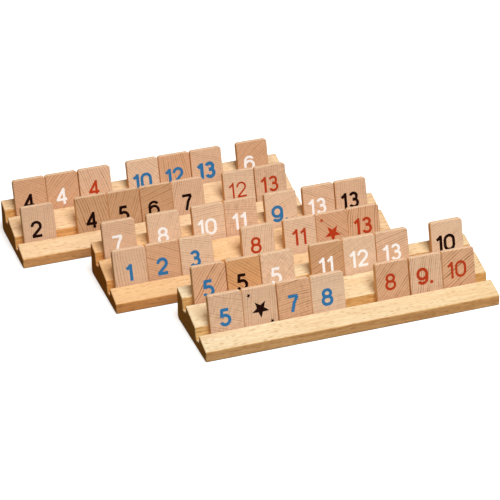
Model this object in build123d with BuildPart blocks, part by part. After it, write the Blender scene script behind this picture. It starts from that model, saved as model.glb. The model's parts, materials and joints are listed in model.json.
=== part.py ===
from build123d import *
import math
import os

# Three wooden tile racks for a game of rummy, with their forty-two numbered wooden tiles.
# Each rack is one milled length of beech, a wedge with two leaning grooves. Seven tiles
# stand in each groove and lean back against its rear wall.
# Millimetres. X runs along the racks, Y from the front rack to the back rack, Z is up.
# The origin is the middle of the whole group's footprint, on the table.

# Tile
tile_width = 26.0
tile_height = 32.6
tile_thickness = 5.0
tile_corner_radius = 2.2
tile_edge_radius = 0.7
tile_side_gap = 0.15
tile_lean = 14.3

# Grooves: each wall is measured along the lean, from the groove's floor to its tread
tiles_per_groove = 7
groove_play = 2.2
groove_front_wall = 6.3
groove_rear_wall = 9.4
seat_clearance = 0.1

# Rack: each tread is measured level, from front to back
spare_length = 47.75
front_height = 8.6
tread_slope = 17.2
front_tread = 17.3
middle_tread = 22.4
rear_tread = 11.8
long_edge_radius = 1.2
end_edge_radius = 1.1
back_foot_radius = 3.5

# Where the racks stand: each one further back is also further left
middle_shift = 41.4
back_shift = 48.0
middle_space = 19.9
back_space = 23.1

# The tiles of each groove from left to right. A number is the free space before the next
# tile, as a share of the length that the groove's tiles leave free.
rows = {
    ("front", "lower"): [
        *(0.216, "blue_5", "black_star"),
        *(0.011, "blue_7", "blue_8"),
        *(0.522, "red_8"),
        *(0.018, "red_9"),
        *(0.003, "red_10"),
    ],
    ("front", "upper"): [
        *(0.169, "blue_5"),
        *(0.012, "black_5"),
        *(0.008, "white_5"),
        *(0.266, "white_11", "white_12"),
        *(0.005, "white_13"),
        *(0.385, "black_10"),
    ],
    ("middle", "lower"): [
        *(0.117, "blue_1", "blue_2"),
        *(0.005, "blue_3"),
        *(0.483, "red_8"),
        *(0.169, "red_11"),
        *(0.001, "red_star", "red_13"),
    ],
    ("middle", "upper"): [
        *(0.135, "white_7"),
        *(0.196, "white_8"),
        *(0.206, "white_10", "white_11"),
        *(0.140, "blue_9"),
        *(0.111, "white_13"),
        *(0.013, "black_13"),
    ],
    ("back", "lower"): [
        *(0.135, "black_2"),
        *(0.361, "black_4", "black_5"),
        *(0.007, "black_6", "black_7"),
        *(0.344, "red_12"),
        *(0.012, "red_13"),
    ],
    ("back", "upper"): [
        *(0.174, "black_4"),
        *(0.002, "white_4"),
        *(0.013, "red_4"),
        *(0.284, "blue_10"),
        *(0.006, "blue_12"),
        *(0.010, "blue_13"),
        *(0.270, "white_6"),
    ],
}

# The rack's section, walked from its front foot over the top, with Y across and Z up
groove_width = tile_thickness + groove_play
up_lean = Vector(math.sin(math.radians(tile_lean)), math.cos(math.radians(tile_lean)))
across_lean = Vector(up_lean.Y, -up_lean.X)
up_tread = Vector(1, math.tan(math.radians(tread_slope)))


def groove_behind(tread_end):
    """The two corners of the groove's floor, and the front edge of the tread behind it."""
    front_corner = tread_end - up_lean * groove_front_wall
    rear_corner = front_corner + across_lean * groove_width
    return [front_corner, rear_corner, rear_corner + up_lean * groove_rear_wall]


front_foot = Vector(0, 0)
front_top = Vector(0, front_height)
front_tread_end = front_top + up_tread * front_tread
lower_groove = groove_behind(front_tread_end)
middle_tread_end = lower_groove[-1] + up_tread * middle_tread
upper_groove = groove_behind(middle_tread_end)
back_top = upper_groove[-1] + up_tread * rear_tread
back_foot = Vector(back_top.X, 0)
seats = {"lower": lower_groove[1], "upper": upper_groove[1]}

tread_edges = [front_top, front_tread_end, lower_groove[-1], middle_tread_end, upper_groove[-1], back_top]
section = [front_foot, front_top, front_tread_end, *lower_groove, middle_tread_end, *upper_groove]
section += [back_top, back_foot]

# The front left foot of each rack
rack_depth = back_foot.X
rack_length = tiles_per_groove * (tile_width + tile_side_gap) + spare_length
group_length = rack_length + middle_shift + back_shift
group_depth = 3 * rack_depth + middle_space + back_space
feet = {"front": Vector(group_length / 2 - rack_length, -group_depth / 2)}
feet["middle"] = feet["front"] + Vector(-middle_shift, rack_depth + middle_space)
feet["back"] = feet["middle"] + Vector(-back_shift, rack_depth + back_space)

os.makedirs("parts", exist_ok=True)

# Racks
for place, foot in feet.items():
    end_plane = Plane(origin=(foot.X, foot.Y, 0), x_dir=(0, 1, 0), z_dir=(1, 0, 0))
    with BuildPart() as rack:
        with BuildSketch(end_plane) as end:
            with BuildLine():
                Polyline(*section, close=True)
            make_face()
            eased = [end.vertices().sort_by_distance(corner)[0] for corner in [front_foot, *tread_edges]]
            fillet(eased, long_edge_radius)
            fillet(end.vertices().sort_by_distance(back_foot)[0], back_foot_radius)
        extrude(amount=rack_length)
        fillet(rack.faces().sort_by(Axis.X)[0].edges(), end_edge_radius)
        fillet(rack.faces().sort_by(Axis.X)[-1].edges(), end_edge_radius)
    rack.part.label = place + "_rack"
    export_step(rack.part, "parts/" + rack.part.label + ".step")

# Tiles, each one drawn on the plane of its back face, from its lower left corner
for (place, level), row in rows.items():
    foot_of_tile = feet[place] + Vector(0, seats[level].X)
    along = 0
    number = 0
    for entry in row:
        if isinstance(entry, float):
            along += entry * spare_length
            continue
        number += 1
        back_plane = Plane(
            origin=(foot_of_tile.X + along, foot_of_tile.Y, seats[level].Y),
            x_dir=(1, 0, 0),
            z_dir=(0, -across_lean.X, -across_lean.Y),
        ).offset(seat_clearance)
        with BuildPart() as tile:
            with BuildSketch(back_plane):
                with Locations((0, seat_clearance)):
                    RectangleRounded(tile_width, tile_height, tile_corner_radius, align=Align.MIN)
            extrude(amount=tile_thickness)
            across = Axis(back_plane.origin, back_plane.z_dir)
            fillet(tile.faces().sort_by(across)[0].edges(), tile_edge_radius)
            fillet(tile.faces().sort_by(across)[-1].edges(), tile_edge_radius)
        tile.part.label = "tile_" + place + "_" + level + "_" + str(number) + "_" + entry
        export_step(tile.part, "parts/" + tile.part.label + ".step")
        along += tile_width + tile_side_gap
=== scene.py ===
import bmesh
import bpy
import json
import math
from mathutils import Matrix, Vector


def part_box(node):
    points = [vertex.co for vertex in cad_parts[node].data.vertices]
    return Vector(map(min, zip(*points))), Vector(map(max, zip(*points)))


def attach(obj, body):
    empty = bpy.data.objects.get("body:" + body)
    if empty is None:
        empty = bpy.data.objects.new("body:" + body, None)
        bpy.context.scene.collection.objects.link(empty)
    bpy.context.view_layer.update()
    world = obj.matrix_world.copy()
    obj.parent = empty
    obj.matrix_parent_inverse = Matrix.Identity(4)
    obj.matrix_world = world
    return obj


# Three beech tile racks for a game of rummy, with forty-two numbered wooden tiles standing
# in their grooves. Metres, in the CAD model's frame: X along the racks, Y to the back.

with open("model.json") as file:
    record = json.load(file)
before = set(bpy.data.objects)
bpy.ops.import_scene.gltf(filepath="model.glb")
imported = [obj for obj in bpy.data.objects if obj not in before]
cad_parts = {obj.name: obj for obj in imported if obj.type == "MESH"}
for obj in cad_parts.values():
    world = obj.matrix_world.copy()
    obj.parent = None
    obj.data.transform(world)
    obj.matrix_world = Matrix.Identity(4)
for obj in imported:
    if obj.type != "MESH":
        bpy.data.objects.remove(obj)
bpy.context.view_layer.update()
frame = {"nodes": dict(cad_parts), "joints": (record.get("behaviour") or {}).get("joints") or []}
nodes = frame["nodes"]
mm = 0.001


# ---------------------------------------------------------------- camera
# A long lens in front of the racks and to their left, looking down at them.
lens = 161.8
sensor_width = 36.0
camera_place = Vector((-482.3, -1420.5, 866.1)) * mm
camera_heading = math.radians(18.96)
camera_dip = math.radians(29.59)
camera_roll = math.radians(-0.785)

camera = bpy.data.objects.new("camera", bpy.data.cameras.new("camera"))
camera.data.lens = lens
camera.data.sensor_width = sensor_width
camera.matrix_world = (
    Matrix.Translation(camera_place)
    @ Matrix.Rotation(-camera_heading, 4, "Z")
    @ Matrix.Rotation(math.pi / 2 - camera_dip, 4, "X")
    @ Matrix.Rotation(camera_roll, 4, "Z")
)
bpy.context.scene.collection.objects.link(camera)
bpy.context.scene.camera = camera
bpy.context.scene.view_settings.view_transform = "Standard"


# ---------------------------------------------------------------- table and light
# A plain white table. The camera sees it white and it keeps the racks' shadows, but it
# throws back only a little light, so that the fronts of the racks stay in their shade.
table_size = 6.0
table_seen = "#F4F4F4"
table_thrown_back = "#606060"
table_glow = 0.5


def linear(code):
    """A colour written as sRGB hex, as the linear values that a shader takes."""
    levels = [int(code[i:i + 2], 16) / 255 for i in (1, 3, 5)]
    levels = [level / 12.92 if level <= 0.04045 else ((level + 0.055) / 1.055) ** 2.4 for level in levels]
    return levels + [1.0]


def new_tree(material):
    """The empty node tree of a material or a world."""
    material.use_nodes = True
    material.node_tree.nodes.clear()
    return material.node_tree


def add_node(tree, kind, inputs=None, **settings):
    """Adds a node. Its settings are its own properties; an input is a value or a socket to link."""
    node = tree.nodes.new(kind)
    for name, value in settings.items():
        setattr(node, name, value)
    for name, value in (inputs or {}).items():
        if isinstance(value, bpy.types.NodeSocket):
            tree.links.new(value, node.inputs[name])
        else:
            node.inputs[name].default_value = value
    return node


def seen_share(tree):
    """1 for what the camera sees, straight, reflected or through glass, and 0 for light thrown on."""
    ray = add_node(tree, "ShaderNodeLightPath").outputs
    share = ray["Is Camera Ray"]
    for other in ("Is Glossy Ray", "Is Transmission Ray"):
        share = add_node(tree, "ShaderNodeMath", {0: share, 1: ray[other]}, operation="MAXIMUM").outputs[0]
    return share


laminate = bpy.data.materials.new("white_laminate")
tree = new_tree(laminate)
seen = seen_share(tree)
colours = {0: seen, 6: linear(table_thrown_back), 7: linear(table_seen)}
colour = add_node(tree, "ShaderNodeMix", colours, data_type="RGBA")
matt = add_node(tree, "ShaderNodeBsdfDiffuse", {"Color": colour.outputs[2]})
glow = add_node(tree, "ShaderNodeMath", {0: seen, 1: table_glow}, operation="MULTIPLY")
light = add_node(tree, "ShaderNodeEmission", {"Strength": glow.outputs[0]})
both = add_node(tree, "ShaderNodeAddShader", {0: matt.outputs[0], 1: light.outputs[0]})
add_node(tree, "ShaderNodeOutputMaterial", {"Surface": both.outputs[0]})

shape = bmesh.new()
bmesh.ops.create_grid(shape, x_segments=1, y_segments=1, size=table_size / 2)
table = bpy.data.objects.new("table", bpy.data.meshes.new("table"))
shape.to_mesh(table.data)
shape.free()
table.data.materials.append(laminate)
bpy.context.scene.collection.objects.link(table)

# The room around: dim to the wood, white to the camera.
room_level = 0.12
room_warmth = "#FFDDB4"
room = bpy.data.worlds.new("room")
bpy.context.scene.world = room
tree = new_tree(room)
seen = seen_share(tree)
level = add_node(tree, "ShaderNodeMapRange", {"Value": seen, "To Min": room_level, "To Max": 1.0})
colours = {0: seen, 6: linear(room_warmth), 7: (1, 1, 1, 1)}
colour = add_node(tree, "ShaderNodeMix", colours, data_type="RGBA")
sky = add_node(tree, "ShaderNodeBackground", {"Color": colour.outputs[2], "Strength": level.outputs[0]})
add_node(tree, "ShaderNodeOutputWorld", {"Surface": sky.outputs[0]})


lamp_distance = 3.0


def soft_box(name, towards, size, watts, colour):
    """A square lamp that looks at the middle of the table from the given side."""
    towards = Vector(towards).normalized()
    lamp = bpy.data.objects.new(name, bpy.data.lights.new(name, "AREA"))
    lamp.data.shape = "SQUARE"
    lamp.data.size = size
    lamp.data.energy = watts
    lamp.data.color = linear(colour)[:3]
    turned = towards.to_track_quat("Z", "Y").to_matrix().to_4x4()
    lamp.matrix_world = Matrix.Translation(towards * lamp_distance) @ turned
    bpy.context.scene.collection.objects.link(lamp)


# The main lamp is high up in front of the racks, a little to their right. A wider and weaker
# one, a little lower and warmer, fills its shadows.
soft_box("key_lamp", towards=(0.12, -0.46, 0.88), size=1.6, watts=72.0, colour="#F2FAFF")
soft_box("fill_lamp", towards=(-0.1, -0.6, 0.79), size=3.0, watts=38.0, colour="#FFF6E8")


# ---------------------------------------------------------------- racks
# Each rack is one length of planed beech with two saw-cut grooves, its edges eased. It is
# sanded and left bare, so it has no shine. The grain runs along it.

# each rack's tone at its left and at its right end
rack_tones = {"front_rack": ("#EFD8B3", "#EED0A4"), "middle_rack": ("#EFC18F", "#F1CDA2"),
              "back_rack": ("#F3CEA3", "#F5D2AA")}
rack_streak = "#DDAA74"
# how much darker and browner than the treads the groove walls, the front and back and the end
# grain are drawn, in their paler and in their darker streaks. The step between the two is grain,
# and end grain is darker wood than the treads; the rest of the darkening is painted shade: the
# fronts and ends turn away from the lamps and the walls sit down in the grooves
wall_tints_and_shade = "#FADFB2", "#D0AE80"
front_tints_and_shade = "#F8D5B0", "#DFBF9E"
end_grain_and_shade_tints = "#CCA262", "#C49A5E"
fleck_tone = "#C48C54"
wood_roughness = 0.75
wood_shine = 0.0
# sanding leaves the harder grain standing up by this much
wood_relief = {"Strength": 0.2, "Distance": 0.05 * mm}
# the grain drifts some 3 mm to each side, in bends some 60 mm long
drift_length = 62.5
drift_width = 6.0
# length and width in mm, and weight, of the long streaks, of finer ones, and of the fibres
streaks = (90.9, 5.0, 0.7), (40.0, 2.0, 1.1), (7.69, 0.625, 1.4)
grain_mean = sum(weight for length, width, weight in streaks) / 2
# each fleck has a cell of the wood to itself, of this length and width, and fills half of it.
# Real flecks are finer; these are drawn wider so that they show.
fleck_cell = 5.263, 0.6667
most_flecked = 0.9


def stretched(length, width):
    """The scale that makes a pattern's cells so many mm long, along X, and so many wide."""
    return 1 / (length * mm), 1 / (width * mm), 1 / (width * mm)


def rack_beech(name, seed, ends, tones):
    """Plain-sawn bare beech: pale and matt, with long soft streaks and short dark flecks."""
    beech = bpy.data.materials.new(name)
    tree = new_tree(beech)
    place = add_node(tree, "ShaderNodeTexCoord").outputs
    drift = {0: place["Object"], 3: stretched(drift_length, drift_length)}
    drift = add_node(tree, "ShaderNodeMapping", drift).outputs[0]
    drift = add_node(tree, "ShaderNodeTexNoise", {"Vector": drift, "W": seed, "Scale": 1.0, "Detail": 1.0},
                     noise_dimensions="4D").outputs[1]
    sideways = (0, drift_width * mm, drift_width * mm)
    drift = add_node(tree, "ShaderNodeVectorMath", {0: drift, 1: sideways}, operation="MULTIPLY").outputs[0]
    where = {0: place["Object"], 1: drift}
    where = add_node(tree, "ShaderNodeVectorMath", where, operation="ADD").outputs[0]
    grain_share = None
    for length, width, weight in streaks:
        streak = add_node(tree, "ShaderNodeMapping", {0: where, 3: stretched(length, width)}).outputs[0]
        streak = {"Vector": streak, "W": seed, "Scale": 1.0, "Detail": 2.0}
        streak = add_node(tree, "ShaderNodeTexNoise", streak, noise_dimensions="4D").outputs[0]
        added = {0: streak, 1: weight, 2: grain_share or 0.0}
        grain_share = add_node(tree, "ShaderNodeMath", added, operation="MULTIPLY_ADD").outputs[0]
    # on the whole the wood is hardly darker than its tone
    share = {0: grain_share, 1: grain_mean - 0.05}
    share = add_node(tree, "ShaderNodeMath", share, operation="SUBTRACT").outputs[0]
    cells = add_node(tree, "ShaderNodeMapping", {0: where, 3: stretched(*fleck_cell)}).outputs[0]
    cells = add_node(tree, "ShaderNodeTexVoronoi", {"Vector": cells, "W": seed, "Scale": 1.0},
                     voronoi_dimensions="4D").outputs
    fleck = add_node(tree, "ShaderNodeMapRange", {"Value": cells["Distance"], 1: 0.5, 2: 0.25}).outputs[0]
    # a few flecks are dark, most are faint and some don't show
    chance = add_node(tree, "ShaderNodeSeparateColor", {0: cells["Color"]}).outputs[0]
    chosen = {"Value": chance, 1: 0.85, 2: 0.1, 4: most_flecked}
    chosen = add_node(tree, "ShaderNodeMapRange", chosen).outputs[0]
    fleck = add_node(tree, "ShaderNodeMath", {0: fleck, 1: chosen}, operation="MULTIPLY").outputs[0]
    along = add_node(tree, "ShaderNodeSeparateXYZ", {0: place["Object"]}).outputs[0]
    along = add_node(tree, "ShaderNodeMapRange", {"Value": along, 1: ends[0], 2: ends[1]}).outputs[0]
    tone = {0: along, 6: linear(tones[0]), 7: linear(tones[1])}
    tone = add_node(tree, "ShaderNodeMix", tone, data_type="RGBA").outputs[2]
    colour = add_node(tree, "ShaderNodeMix", {0: share, 6: tone, 7: linear(rack_streak)},
                      data_type="RGBA", clamp_factor=False).outputs[2]
    colour = {0: fleck, 6: colour, 7: linear(fleck_tone)}
    colour = add_node(tree, "ShaderNodeMix", colour, data_type="RGBA").outputs[2]
    # what faces the front or the back, or an end, is tinted darker and browner: partly grain and end grain,
    # partly painted shade
    facing = add_node(tree, "ShaderNodeSeparateXYZ", {0: place["Normal"]}).outputs
    forward = add_node(tree, "ShaderNodeMath", {0: facing["Y"]}, operation="ABSOLUTE").outputs[0]
    endways = add_node(tree, "ShaderNodeMath", {0: facing["X"]}, operation="ABSOLUTE").outputs[0]
    streaked = {"Value": grain_share, 1: grain_mean - 0.3, 2: grain_mean + 0.4}
    streaked = add_node(tree, "ShaderNodeMapRange", streaked).outputs[0]
    tint = (1.0, 1.0, 1.0, 1.0)
    # painted shade on the walls, fronts and ends, with the grain's streaks in it
    for part, start, stop, tints in (
        (forward, 0.5, 0.9, wall_tints_and_shade),
        (forward, 0.975, 0.995, front_tints_and_shade),
        (endways, 0.6, 0.95, end_grain_and_shade_tints),
    ):
        amount = add_node(tree, "ShaderNodeMapRange", {"Value": part, 1: start, 2: stop}).outputs[0]
        own = {0: streaked, 6: linear(tints[0]), 7: linear(tints[1])}
        own = add_node(tree, "ShaderNodeMix", own, data_type="RGBA").outputs[2]
        tint = add_node(tree, "ShaderNodeMix", {0: amount, 6: tint, 7: own}, data_type="RGBA").outputs[2]
    colour = add_node(tree, "ShaderNodeMix", {0: 1.0, 6: colour, 7: tint},
                      data_type="RGBA", blend_type="MULTIPLY").outputs[2]
    relief = add_node(tree, "ShaderNodeBump", wood_relief | {"Height": grain_share})
    matt = {"Base Color": colour, "Roughness": wood_roughness, "Specular IOR Level": wood_shine}
    surface = add_node(tree, "ShaderNodeBsdfPrincipled", matt | {"Normal": relief.outputs[0]})
    add_node(tree, "ShaderNodeOutputMaterial", {"Surface": surface.outputs[0]})
    return beech


for seed, (name, tones) in enumerate(rack_tones.items()):
    ends = [corner.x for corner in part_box(name)]
    nodes[name].data.materials.clear()
    nodes[name].data.materials.append(rack_beech("beech_" + name, 3.0 * seed, ends, tones))


# ---------------------------------------------------------------- tiles
# A tile is a small beech block with rounded corners and eased edges, cut any way out of the
# plank, so its growth lines run at their own angle. Sanded and left bare.
tile_thickness = 5.0 * mm
# what the growth lines, the rays and the pores are tinted with
dark_line = "#A2714B"
# the top and the foot of a tile, and its left and right sides. The sides are drawn browner than
# the top: painted shade of the sides and of the narrow gaps between the tiles
end_tone = "#F6CFAC"
side_tone_with_shade = "#EFBC82"
pale, pink, tan, brown, amber = "#E5C2A3", "#DFB797", "#D9A984", "#CB9D76", "#D49F6E"

# growth lines of each tile, row by row from the left: their angle to the tile's foot, how
# far apart they are in mm, how dark they are, and the wood's tone
grain = {
    "front_lower": [
        (-20, 1.9, 0.35, pink), (85, 1.6, 0.34, pink), (6, 1.8, 0.65, tan), (3, 1.6, 0.3, pale),
        (49, 1.9, 0.56, tan), (79, 1.7, 0.58, pink), (32, 2.0, 0.85, tan),
    ],
    "front_upper": [
        (54, 2.0, 0.65, tan), (-40, 2.0, 0.65, amber), (45, 2.2, 0.2, pale), (22, 2.0, 0.52, brown),
        (24, 1.9, 0.2, pale), (12, 1.8, 0.4, pink), (20, 1.9, 0.25, pale),
    ],
    "middle_lower": [
        (93, 2.2, 0.4, pink), (-27, 1.8, 0.45, tan), (-18, 1.7, 0.33, pale), (78, 1.7, 0.3, pale),
        (-27, 2.0, 0.28, pale), (-45, 1.9, 0.48, tan), (83, 2.0, 0.8, tan),
    ],
    "middle_upper": [
        (-25, 1.7, 0.25, pink), (70, 1.6, 0.25, pale), (3, 1.7, 0.28, pale), (-11, 1.8, 0.27, pink),
        (22, 1.8, 0.3, pale), (-27, 1.7, 0.4, pink), (90, 1.9, 0.25, pink),
    ],
    "back_lower": [
        (88, 1.6, 0.25, pink), (105, 2.2, 0.75, brown), (68, 2.0, 0.5, brown), (18, 2.1, 0.5, brown),
        (75, 1.7, 0.33, pink), (-10, 1.6, 0.33, pale), (90, 1.7, 0.33, pink),
    ],
    "back_upper": [
        (-30, 2.1, 0.27, tan), (46, 2.2, 0.38, tan), (109, 2.0, 0.55, pink), (-45, 1.9, 0.3, pale),
        (99, 1.8, 0.45, tan), (-20, 1.9, 0.22, pink), (42, 2.2, 0.3, tan),
    ],
}

# how dark the rays across the growth lines are, which tiles show them twice as dark, and how
# dark the pores are
ray_contrast = 0.6
hatched = "front_lower_1", "front_lower_3", "front_upper_3", "middle_upper_4", "back_lower_7"
pore_contrast = 0.3
# in mm: how long the lines' bends are and how far they bend, the fat years' and lean years'
# length and width and how far they shift the lines, the size of patches with stronger lines,
# the rays' distance and length, and the pores' size. Real rays and pores are finer.
bend_size = 25.0
bend_width = 4.0
years_size = 33.33, 2.857
years_width = 1.6
patch_size = 6.25
rays_size = 1.333, 6.667
pore_size = 0.625
# the mean of the growth lines' pattern and of a noise
lines_mean = 0.145
noise_mean = 0.5


def tile_frame(node, lean):
    """The tile's own axes at the middle of its face: X to the right, Y up along it, Z out of it."""
    low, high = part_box(node)
    out = Vector((1, 0, 0)).cross(lean)
    centre = (low + high) / 2 + out * tile_thickness / 2
    axes = Matrix((Vector((1, 0, 0)), lean, out)).transposed().to_4x4()
    return Matrix.Translation(centre) @ axes


def tile_beech(name, place, seed, rays_contrast, angle, spacing, contrast, tone):
    """Beech cut across: growth lines at an angle, crossed by fine rays, and plainer wood at its sides."""
    beech = bpy.data.materials.new(name)
    tree = new_tree(beech)
    turned = place @ Matrix.Rotation(math.radians(angle), 4, "Z")
    surface_place = add_node(tree, "ShaderNodeTexCoord").outputs
    where = surface_place["Object"]
    # from here on in millimetres: X along the growth lines, Y across them
    own = {0: where, 1: turned.to_translation(), 2: turned.to_euler(), 3: (mm, mm, mm)}
    own = add_node(tree, "ShaderNodeMapping", own, vector_type="TEXTURE").outputs[0]
    across = add_node(tree, "ShaderNodeSeparateXYZ", {0: own}).outputs[1]
    bend = {"Vector": own, "W": seed, "Scale": 1 / bend_size, "Detail": 1.0}
    bend = add_node(tree, "ShaderNodeTexNoise", bend, noise_dimensions="4D").outputs[0]
    across = {0: bend, 1: bend_width, 2: across}
    across = add_node(tree, "ShaderNodeMath", across, operation="MULTIPLY_ADD").outputs[0]
    # fat years and lean years, so that no two lines are as far apart
    length, width = years_size
    years = {0: own, 3: (1 / length, 1 / width, 1 / width)}
    years = add_node(tree, "ShaderNodeMapping", years).outputs[0]
    years = add_node(tree, "ShaderNodeTexNoise", {"Vector": years, "W": seed, "Scale": 1.0, "Detail": 1.0},
                     noise_dimensions="4D").outputs[0]
    across = {0: years, 1: years_width, 2: across}
    across = add_node(tree, "ShaderNodeMath", across, operation="MULTIPLY_ADD").outputs[0]
    year = add_node(tree, "ShaderNodeMath", {0: across, 1: 1 / spacing}, operation="MULTIPLY").outputs[0]
    ring = add_node(tree, "ShaderNodeMath", {0: year}, operation="FRACT").outputs[0]
    ring = add_node(tree, "ShaderNodeMapRange", {"Value": ring, 1: 0.55, 2: 0.95}).outputs[0]
    # some years end in a dark line and others in a faint one
    year = add_node(tree, "ShaderNodeMath", {0: year}, operation="FLOOR").outputs[0]
    dark = {"Vector": (seed, 0, 0), "W": year}
    dark = add_node(tree, "ShaderNodeTexWhiteNoise", dark, noise_dimensions="4D").outputs[0]
    dark = add_node(tree, "ShaderNodeMapRange", {"Value": dark, 3: 0.6, 4: 1.8},
                    interpolation_type="SMOOTHERSTEP").outputs[0]
    ring = add_node(tree, "ShaderNodeMath", {0: ring, 1: dark}, operation="MULTIPLY").outputs[0]
    patchy = {"Vector": own, "W": seed + 5, "Scale": 1 / patch_size, "Detail": 2.0}
    patchy = add_node(tree, "ShaderNodeTexNoise", patchy, noise_dimensions="4D").outputs[0]
    ring = add_node(tree, "ShaderNodeMath", {0: ring, 1: patchy}, operation="MULTIPLY").outputs[0]
    # the rays lie square to the growth lines
    apart, length = rays_size
    rays = {0: own, 3: (1 / apart, 1 / length, 1 / length)}
    rays = add_node(tree, "ShaderNodeMapping", rays).outputs[0]
    rays = add_node(tree, "ShaderNodeTexNoise", {"Vector": rays, "W": seed, "Scale": 1.0, "Detail": 2.0},
                    noise_dimensions="4D").outputs[0]
    pores = {"Vector": own, "Scale": 1 / pore_size, "Detail": 2.0}
    pores = add_node(tree, "ShaderNodeTexNoise", pores).outputs[0]
    # together they leave the mean as it is: as much wood is paler than the tone as is darker
    patterns = (
        (ring, 2.0 * contrast, lines_mean),
        (rays, rays_contrast, noise_mean),
        (pores, pore_contrast, noise_mean),
    )
    share = -sum(weight * mean for pattern, weight, mean in patterns)
    for pattern, weight, mean in patterns:
        share = {0: pattern, 1: weight, 2: share}
        share = add_node(tree, "ShaderNodeMath", share, operation="MULTIPLY_ADD").outputs[0]
    colour = add_node(tree, "ShaderNodeMix", {0: share, 6: linear(tone), 7: linear(dark_line)},
                      data_type="RGBA", clamp_factor=False).outputs[2]
    out = {0: surface_place["Normal"], 1: place.to_3x3().col[2]}
    facing = add_node(tree, "ShaderNodeVectorMath", out, operation="DOT_PRODUCT").outputs[1]
    facing = add_node(tree, "ShaderNodeMapRange", {"Value": facing, 1: 0.5, 2: 0.85}).outputs[0]
    sideways = add_node(tree, "ShaderNodeSeparateXYZ", {0: surface_place["Normal"]}).outputs[0]
    sideways = add_node(tree, "ShaderNodeMath", {0: sideways}, operation="ABSOLUTE").outputs[0]
    sideways = add_node(tree, "ShaderNodeMapRange", {"Value": sideways, 1: 0.5, 2: 0.85}).outputs[0]
    # the sides take the browner tone, painted shade that darkens the gaps between the tiles
    edge = {0: sideways, 6: linear(end_tone), 7: linear(side_tone_with_shade)}
    edge = add_node(tree, "ShaderNodeMix", edge, data_type="RGBA").outputs[2]
    colour = {0: facing, 6: edge, 7: colour}
    colour = add_node(tree, "ShaderNodeMix", colour, data_type="RGBA").outputs[2]
    relief = add_node(tree, "ShaderNodeBump", wood_relief | {"Height": share}, invert=True)
    matt = {"Base Color": colour, "Roughness": wood_roughness, "Specular IOR Level": wood_shine}
    surface = add_node(tree, "ShaderNodeBsdfPrincipled", matt | {"Normal": relief.outputs[0]})
    add_node(tree, "ShaderNodeOutputMaterial", {"Surface": surface.outputs[0]})
    return beech


leans = {joint["child"]: Vector(joint["axis"]).normalized() for joint in frame["joints"]}
places = {}
for seed, name in enumerate(sorted(node for node in nodes if node.startswith("tile"))):
    rack, level, number = name.split("_")[1:4]
    places[name] = tile_frame(name, leans[name])
    lines = grain[rack + "_" + level][int(number) - 1]
    nodes[name].data.materials.clear()
    rays = ray_contrast * (2 if rack + "_" + level + "_" + number in hatched else 1)
    nodes[name].data.materials.append(tile_beech("beech_" + name, places[name], seed, rays, *lines))


# ---------------------------------------------------------------- figures on the tiles
# Each tile carries its number in opaque printing ink, in one of four colours, a thin even
# skin on the wood. A six and a nine have a dot beside their foot. Two tiles carry stars.
inks = {"black": "#160000", "red": "#BB3D1C", "blue": "#3278AE", "white": "#FFFFFF"}
ink_roughness = 0.6
ink_shine = 0.05
# in patches of this size, in mm, up to this share of the wood's colour comes through
ink_patch_size = 0.8333
wood_through_ink = 0.02
# in mm: the ink's thickness, what each next stroke has more, and how deep it sits in the wood
ink_thickness = 0.04
ink_step = 0.01
ink_sunk = 0.015
# in mm: the pen that the figures are laid out for, and the one that each ink is drawn with
pen_width = 2.0
pens = {"black": 2.3, "red": 1.95, "blue": 2.45, "white": 2.0}
figure_width = 9.1
figure_height = 13.0
one_width = 5.2
figure_gap = 1.4
dot_radius = 1.35
dot_gap = 0.2

# where the middle of each tile's figures is, in mm from the middle of its face
print_places = {
    "front_lower": [
        (-1.1, -1.6), (0, 0), (-1.3, -1.1), (-1.0, -1.2),
        (-1.8, 1.1), (-3.3, 0.7), (-1.9, 1.0),
    ],
    "front_upper": [
        (-1.4, -1.7), (-1.9, -1.9), (-1.9, -1.9), (-1.5, -1.2),
        (-1.1, -0.6), (-0.8, -0.7), (-1.8, -1.0),
    ],
    "middle_lower": [
        (-1.5, -2.3), (-1.3, -2.0), (-1.6, -0.8), (-2.1, 1.0),
        (-1.4, 1.3), (0, 0), (-1.0, 1.0),
    ],
    "middle_upper": [
        (-1.9, -1.4), (-1.4, -1.4), (-2.1, -1.1), (-2.0, -1.0),
        (-3.5, -0.6), (-1.8, -0.5), (-1.3, -0.3),
    ],
    "back_lower": [
        (-2.2, -2.5), (-1.3, -3.0), (-1.2, -2.4), (-2.9, -2.5),
        (-1.5, -2.0), (-1.6, 0.6), (-1.3, 0.9),
    ],
    "back_upper": [
        (-1.8, -2.4), (-1.5, -2.2), (-1.5, -0.4), (-1.5, -1.4),
        (-1.1, -1.5), (-0.9, -1.4), (-3.2, -1.8),
    ],
}
# how much wider or narrower than the rest some of them are drawn
heavier = {"back_upper_6": 1.2, "front_lower_6": 1.2, "middle_lower_7": 1.15, "back_lower_6": 0.75,
           "back_lower_4": 0.9}

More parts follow.
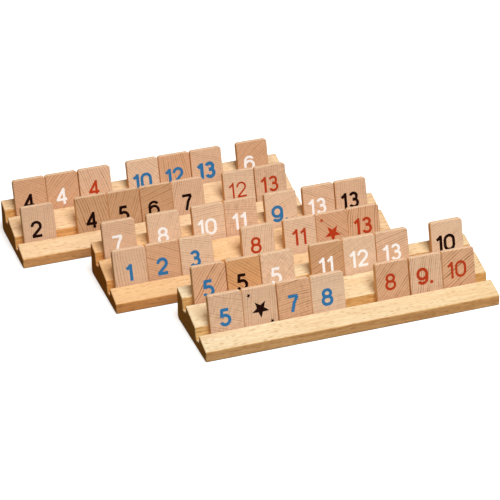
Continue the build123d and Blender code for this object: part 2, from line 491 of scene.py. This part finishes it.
# Strokes of each figure: where the pen starts, its heading in degrees, and its moves, from
# the lower left of the pen's own path. A move is a straight run (length, 0) or an arc
# (radius, turn), turning left when positive.
nib = pen_width / 2
wide = figure_width - pen_width
high = figure_height - pen_width
bowl = wide / 2
six = [
    ((0, bowl - 0.3), 90, [(high - wide + 0.3, 0), (bowl, -150)]),
    ((0, bowl), -90, [(bowl, 180), (0.5, 0), (bowl, 180), (0.5, 0)]),
]
strokes = {
    "0": [((0, bowl), -90, [(bowl, 180), (high - wide, 0), (bowl, 180), (high - wide, 0)])],
    "1": [((3.2, -nib), 90, [(figure_height, 0)]), ((3.2, high - 0.2), 217, [(4.0, 0)])],
    "2": [((0.1, 7.9), 90, [(3.3, -180), (3.3, -46), (7.9, 0)]), ((-0.4, 0), 0, [(wide + 0.7, 0)])],
    "3": [((0.8, 9.3), 70, [(2.65, -250), (0.8, 0)]), ((2.4, 6.1), 0, [(1.0, 0), (3.05, -250)])],
    "4": [((5.3, -nib), 90, [(figure_height, 0)]), ((-0.9, 2.9), 0, [(8.4, 0)]),
          ((-0.2, 2.9), 56, [(9.8, 0)])],
    "5": [((1.0, 5.8), 45, [(3.4, -135), (0.2, 0), (3.4, -160)]), ((0.75, 5.4), 83, [(6.6, 0)]),
          ((1.4, high), 0, [(5.0, 0)])],
    "6": six,
    "7": [((-0.2, high), 0, [(wide + 0.4, 0)]), ((wide - 0.1, high - 0.2), -126, [(24.0, 28), (nib, 0)])],
    "8": [((bowl, 0), 0, [(0.45, 0), (2.95, 180), (0.9, 0), (2.95, 180), (0.45, 0)]),
          ((bowl, 5.75), 0, [(0.25, 0), (2.62, 180), (0.5, 0), (2.62, 180), (0.25, 0)])],
    "9": [((wide - x, high - y), heading + 180, moves) for (x, y), heading, moves in six],
}


# points closer than this, in mm, are one, and an arc has a facet for every so many degrees
weld = 0.01
arc_step = 12


def add_plate(pieces, flat, level):
    """Adds a plate of a flat shape. Each next level is a little thicker, so no two tops meet."""
    bmesh.ops.remove_doubles(flat, verts=flat.verts, dist=weld)
    made = bmesh.ops.extrude_face_region(flat, geom=list(flat.faces), use_keep_orig=True)["geom"]
    raised = [part for part in made if isinstance(part, bmesh.types.BMVert)]
    bmesh.ops.translate(flat, verts=raised, vec=(0, 0, ink_thickness + level * ink_step))
    bmesh.ops.recalc_face_normals(flat, faces=flat.faces)
    plate = bpy.data.meshes.new("plate")
    flat.to_mesh(plate)
    flat.free()
    pieces.from_mesh(plate)
    bpy.data.meshes.remove(plate)


def add_stroke(pieces, corner, pen, level, start, heading, moves):
    """Adds one stroke of a flat pen: a short edge square to the heading, swept along the moves."""
    flat = bmesh.new()
    heading = math.radians(heading)
    point = corner + Vector((*start, 0))
    ahead = Vector((math.cos(heading), math.sin(heading), 0))
    left = Vector((-ahead.y, ahead.x, 0))
    ends = [flat.verts.new(point + left * pen / 2 * side) for side in (-1, 1)]
    edge = [*ends, flat.edges.new(ends)]
    for size, turn in moves:
        if turn:
            centre = point + left * math.copysign(size, turn)
            turned = math.radians(turn)
            steps = max(2, abs(turn) // arc_step)
            turning = {"cent": centre, "axis": (0, 0, 1), "angle": turned, "steps": steps}
            edge = bmesh.ops.spin(flat, geom=edge, **turning)["geom_last"]
            rotation = Matrix.Rotation(turned, 3, "Z")
            point = centre + rotation @ (point - centre)
            ahead, left = rotation @ ahead, rotation @ left
        else:
            edges = [part for part in edge if isinstance(part, bmesh.types.BMEdge)]
            edge = bmesh.ops.extrude_edge_only(flat, edges=edges)["geom"]
            verts = [part for part in edge if isinstance(part, bmesh.types.BMVert)]
            bmesh.ops.translate(flat, verts=verts, vec=ahead * size)
            edge = [part for part in edge if not isinstance(part, bmesh.types.BMFace)]
            point += ahead * size
    add_plate(pieces, flat, level)


def add_disc(pieces, centre, level, radius, segments, waist=1.0):
    """Adds a disc, or a star where every other corner is drawn in to a waist."""
    flat = bmesh.new()
    ring = bmesh.ops.create_circle(flat, cap_ends=True, segments=segments, radius=radius)["verts"]
    for vert in ring[::2]:
        vert.co *= waist
    bmesh.ops.translate(flat, verts=ring, vec=centre)
    add_plate(pieces, flat, level)


def printing_ink(name, colour):
    """Opaque screen ink on bare wood: nearly matt, a little uneven where the grain takes it."""
    ink = bpy.data.materials.new(name)
    tree = new_tree(ink)
    where = add_node(tree, "ShaderNodeTexCoord").outputs["Object"]
    patch = {"Vector": where, "Scale": 1 / (ink_patch_size * mm), "Detail": 2.0}
    patch = add_node(tree, "ShaderNodeTexNoise", patch).outputs[0]
    share = {"Value": patch, 1: 0.45, 2: 0.8, 4: wood_through_ink}
    share = add_node(tree, "ShaderNodeMapRange", share).outputs[0]
    mixed = {0: share, 6: linear(colour), 7: linear(tan)}
    mixed = add_node(tree, "ShaderNodeMix", mixed, data_type="RGBA").outputs[2]
    finish = {"Base Color": mixed, "Roughness": ink_roughness, "Specular IOR Level": ink_shine}
    surface = add_node(tree, "ShaderNodeBsdfPrincipled", finish)
    add_node(tree, "ShaderNodeOutputMaterial", {"Surface": surface.outputs[0]})
    return ink


ink_of = {colour: printing_ink("ink_" + colour, code) for colour, code in inks.items()}

# A wild tile has a large star in the middle and a small one in two corners. In mm.
star_place = Vector((0, -0.5, 0))
star_radius = 7.0
star_waist = 0.42
small_star = 1.9
small_star_place = Vector((8.2, 11.0, 0))

for name, place in places.items():
    colour, figures = name.split("_")[4:6]
    rack, level, number = name.split("_")[1:4]
    pen = pens[colour] * heavier.get(rack + "_" + level + "_" + number, 1)
    pieces = bmesh.new()
    if figures == "star":
        add_disc(pieces, star_place, 0, star_radius, 10, star_waist)
        for side in (-1, 1):
            add_disc(pieces, small_star_place * Vector((side, -side, 0)), 0, small_star, 10, star_waist)
    else:
        middle = Vector((*print_places[rack + "_" + level][int(number) - 1], 0))
        widths = [one_width if figure == "1" else figure_width for figure in figures]
        total = sum(widths) + figure_gap * (len(widths) - 1)
        corner = middle + Vector((nib - total / 2, nib - figure_height / 2, 0))
        for figure, width in zip(figures, widths):
            for depth, stroke in enumerate(strokes[figure]):
                add_stroke(pieces, corner, pen, depth, *stroke)
            corner.x += width + figure_gap
        if figures in ("6", "9"):
            add_disc(pieces, corner + Vector((dot_gap, 0, 0)), 0, dot_radius, 20)
    placing = place @ Matrix.Scale(mm, 4) @ Matrix.Translation((0, 0, -ink_sunk))
    bmesh.ops.transform(pieces, verts=pieces.verts, matrix=placing)
    printed = bpy.data.objects.new("print_" + name, bpy.data.meshes.new("print_" + name))
    pieces.to_mesh(printed.data)
    pieces.free()
    printed.data.materials.append(ink_of[colour])
    bpy.context.scene.collection.objects.link(printed)
    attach(printed, name)
